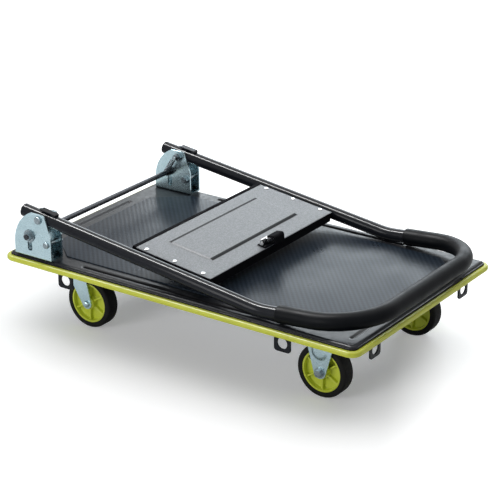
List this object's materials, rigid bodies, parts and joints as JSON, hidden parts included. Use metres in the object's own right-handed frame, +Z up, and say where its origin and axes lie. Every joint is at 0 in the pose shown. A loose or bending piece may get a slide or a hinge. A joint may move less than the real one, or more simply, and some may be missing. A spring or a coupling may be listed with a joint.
{
  "type": "folding platform cart",
  "caption": "Low flat-deck hand cart with a fold-down tube handle, locking hinge brackets, foot release rod, fixed and swivel casters and a lime bumper.",
  "frame": {"origin": "middle of the box that holds the folded cart, on the floor", "axes": "+X from the hinge end to the grip end, +Y to the far long side, +Z up"},
  "size_m": [0.7916, 0.4866, 0.2425],
  "materials": {
    "black_coat": "glossy black powder coat",
    "deck_rubber": "fine ribbed rubber mat",
    "lime_edge": "soft lime edge moulding",
    "black_trim": "satin black moulding",
    "zinc_plate": "bright blue-white zinc plate",
    "spring_steel": "bright nickel plate",
    "dark_steel": "dark drawn steel",
    "lime_rim": "moulded lime plastic",
    "tyre": "solid black rubber",
    "foam": "matt black foam",
    "grey_panel": "grey textured coat"
  },
  "bodies": {
    "deck": {"deck_pan": "black_coat", "deck_mat": "deck_rubber", "bumper": "lime_edge", "edge_trim": "black_trim", "deck_stiffeners": "black_coat", "tie_down_tabs": "black_coat", "bracket_bolts": "zinc_plate", "bracket_nuts": "zinc_plate", "caster_studs": "zinc_plate", "caster_nuts": "zinc_plate", "hinge_bracket_near": "zinc_plate", "hinge_bracket_far": "zinc_plate", "pivot_bolts": "zinc_plate", "pivot_nuts": "zinc_plate", "stop_bolts": "zinc_plate", "stop_nuts": "zinc_plate", "fixed_fork_near": "zinc_plate", "fixed_fork_far": "zinc_plate", "fixed_axle_bolts": "zinc_plate", "fixed_axle_nuts": "dark_steel", "fixed_axle_sleeves": "zinc_plate", "swivel_plate_near": "zinc_plate", "swivel_plate_far": "zinc_plate", "kingpins": "zinc_plate", "return_spring_near": "dark_steel", "return_spring_far": "dark_steel"},
    "release_rod": {"release_rod": "dark_steel", "rod_nuts": "zinc_plate"},
    "handle": {"handle_tube": "black_coat", "foam_grip": "foam", "tube_end_caps": "black_trim", "pivot_sleeves": "zinc_plate", "strap_hooks": "black_coat", "panel_cover": "grey_panel", "panel_tray": "black_coat", "panel_screws": "spring_steel", "panel_saddles": "black_coat", "clip_base": "black_coat", "clip_pin": "spring_steel", "clip_spring": "black_coat"},
    "clip": {"clip_jaw": "spring_steel", "clip_pad": "black_trim"},
    "swivel_near": {"swivel_bearing_near": "zinc_plate", "swivel_fork_near": "zinc_plate", "swivel_axle_bolt_near": "zinc_plate", "swivel_axle_nut_near": "zinc_plate", "swivel_axle_sleeve_near": "zinc_plate"},
    "wheel_swivel_near": {"wheel_rim_swivel_near": "lime_rim", "tyre_swivel_near": "tyre"},
    "wheel_fixed_near": {"wheel_rim_fixed_near": "lime_rim", "tyre_fixed_near": "tyre"},
    "swivel_far": {"swivel_bearing_far": "zinc_plate", "swivel_fork_far": "zinc_plate", "swivel_axle_bolt_far": "zinc_plate", "swivel_axle_nut_far": "zinc_plate", "swivel_axle_sleeve_far": "zinc_plate"},
    "wheel_swivel_far": {"wheel_rim_swivel_far": "lime_rim", "tyre_swivel_far": "tyre"},
    "wheel_fixed_far": {"wheel_rim_fixed_far": "lime_rim", "tyre_fixed_far": "tyre"}
  },
  "joints": [
    {"name": "handle_fold", "type": "hinge", "parent": "deck", "child": "handle", "pos_m": [-0.30976, 0, 0.224], "axis": [0, -1, 0], "range_deg": [0, 97.7]},
    {"name": "rod_slide", "type": "slide", "parent": "deck", "child": "release_rod", "axis": [0, 0, -1], "range_m": [0, 0.025], "stiffness_N_per_m": 400, "deforming": ["return_spring_near", "return_spring_far"]},
    {"name": "clip_open", "type": "hinge", "parent": "handle", "child": "clip", "pos_m": [0.05026, 0, 0.19242], "axis": [0, 1, 0], "range_deg": [0, 25], "stiffness_Nm_per_rad": 0.4, "springref_deg": -17.19, "deforming": ["clip_spring"]},
    {"name": "swivel_turn_near", "type": "hinge", "parent": "deck", "child": "swivel_near", "pos_m": [-0.28276, -0.156, 0.05], "axis": [0, 0, 1], "continuous": true},
    {"name": "swivel_wheel_spin_near", "type": "hinge", "parent": "swivel_near", "child": "wheel_swivel_near", "pos_m": [-0.24926, -0.156, 0.05], "axis": [0, 1, 0], "continuous": true},
    {"name": "fixed_wheel_spin_near", "type": "hinge", "parent": "deck", "child": "wheel_fixed_near", "pos_m": [0.27324, -0.156, 0.05], "axis": [0, 1, 0], "continuous": true},
    {"name": "swivel_turn_far", "type": "hinge", "parent": "deck", "child": "swivel_far", "pos_m": [-0.28276, 0.156, 0.05], "axis": [0, 0, 1], "continuous": true},
    {"name": "swivel_wheel_spin_far", "type": "hinge", "parent": "swivel_far", "child": "wheel_swivel_far", "pos_m": [-0.24926, 0.156, 0.05], "axis": [0, 1, 0], "continuous": true},
    {"name": "fixed_wheel_spin_far", "type": "hinge", "parent": "deck", "child": "wheel_fixed_far", "pos_m": [0.27324, 0.156, 0.05], "axis": [0, 1, 0], "continuous": true}
  ],
  "couplings": [
    {"joint": "rod_slide", "follows": "handle_fold", "m_per_rad": 0.0146}
  ]
}
